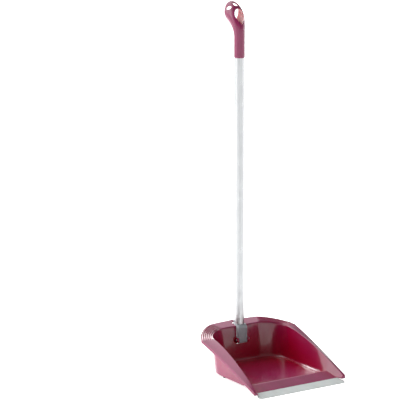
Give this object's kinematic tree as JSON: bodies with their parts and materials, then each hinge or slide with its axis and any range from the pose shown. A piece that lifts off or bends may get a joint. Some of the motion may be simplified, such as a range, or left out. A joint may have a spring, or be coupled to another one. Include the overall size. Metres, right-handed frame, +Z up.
{
  "type": "long-handled dustpan",
  "caption": "Upright dustpan with a deep pan, a soft rubber lip, a tall metal tube handle that folds forward over the pan, and a hollow hooked grip with a hanging hole.",
  "frame": {"origin": "on the ground, under the middle of the part's bounding box", "axes": "+Z up, X across the pan, -Y towards the mouth of the pan and +Y towards the back, where the handle stands"},
  "size_m": [0.263, 0.3068, 0.8651],
  "materials": {
    "raspberry_plastic": "glossy injection-moulded polypropylene",
    "lip_rubber": "matt light grey",
    "foot_rubber": "matt near black",
    "tube_aluminium": "satin anodised",
    "grey_plastic": "satin moulded",
    "pin_steel": "plain turned pin"
  },
  "bodies": {
    "pan": {"pan_body": "raspberry_plastic", "lip_strip": "lip_rubber", "foot_front_right": "foot_rubber", "foot_front_left": "foot_rubber", "foot_rear_right": "foot_rubber", "foot_rear_left": "foot_rubber", "hinge_pin": "pin_steel", "pin_cap": "grey_plastic"},
    "handle": {"handle_tube": "tube_aluminium", "handle_boot": "grey_plastic", "grip": "raspberry_plastic"}
  },
  "joints": [
    {"name": "handle_fold", "type": "hinge", "parent": "pan", "child": "handle", "pos_m": [0, 0.1053, 0.06], "axis": [1, 0, 0], "range_deg": [0, 90]}
  ]
}
